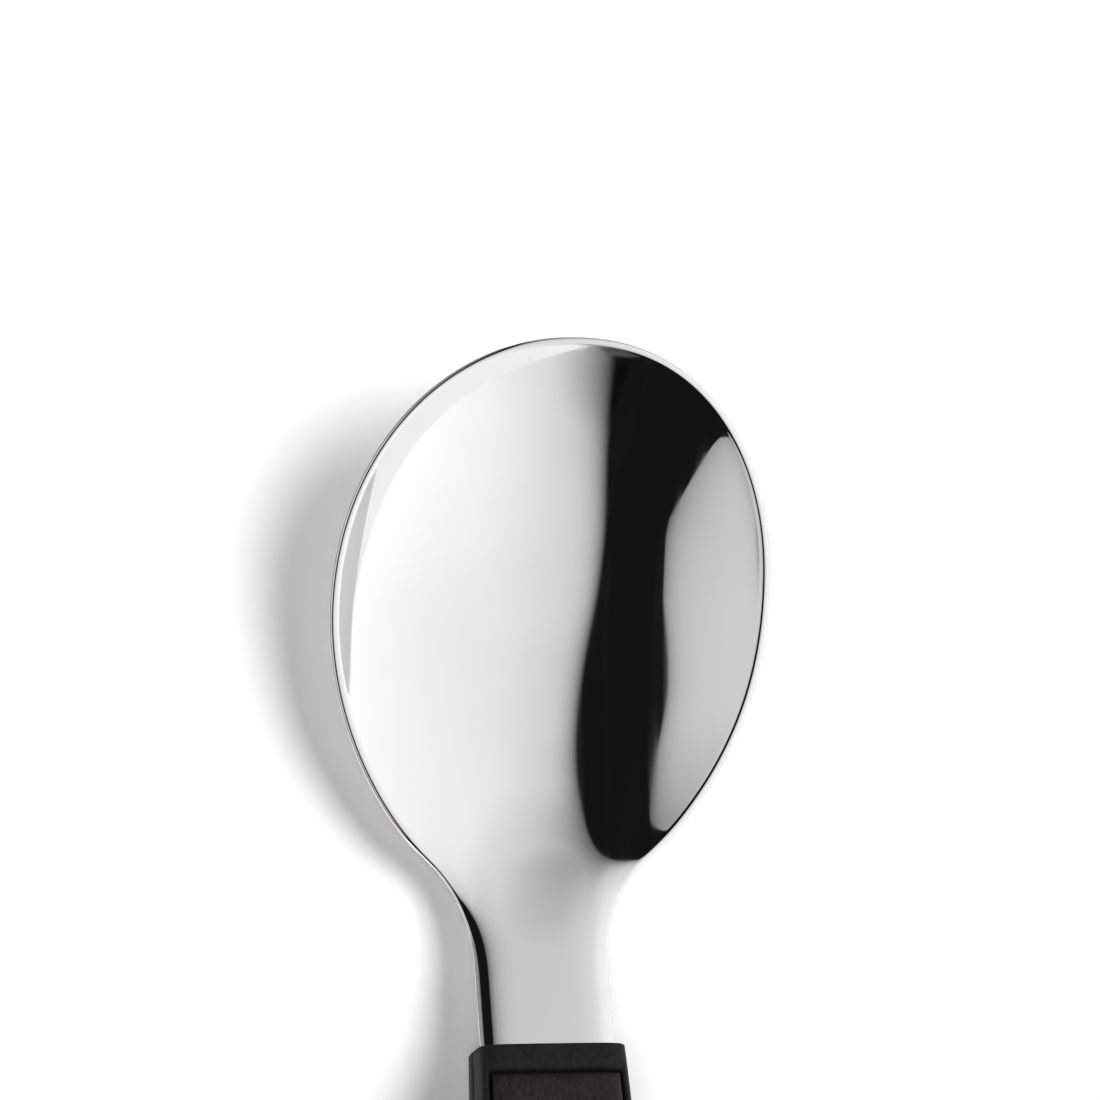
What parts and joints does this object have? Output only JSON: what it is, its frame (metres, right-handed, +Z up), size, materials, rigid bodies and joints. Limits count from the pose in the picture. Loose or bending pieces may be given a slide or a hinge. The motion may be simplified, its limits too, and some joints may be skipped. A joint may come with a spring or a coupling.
{
  "type": "right-handed spoon",
  "caption": "Eating spoon with a polished round-ended bowl, a broad flat neck and a thick soft-grip handle bent for the right hand.",
  "frame": {"origin": "on the table plane under the middle of the spoon's box, as it lies face up", "axes": "+Y from the handle towards the bowl's tip, +Z up out of the bowl, +X to the user's right"},
  "size_m": [0.0646, 0.1948, 0.0238],
  "materials": {
    "polished_steel": "mirror-polished stainless sheet",
    "black_plastic": "fine-grained matte black moulding",
    "black_grip": "soft-touch matte black elastomer",
    "seal_rubber": "plain dark elastomer, hidden inside the collar",
    "dowel_steel": "ground stainless dowel, hidden inside the handle"
  },
  "bodies": {
    "root": {"spoon_head": "polished_steel", "upper_shell": "black_plastic", "lower_shell": "black_plastic", "upper_grip_pad": "black_grip", "lower_grip_pad": "black_grip", "neck_seal": "seal_rubber", "tang_pin_front": "dowel_steel", "tang_pin_rear": "dowel_steel"}
  },
  "joints": []
}
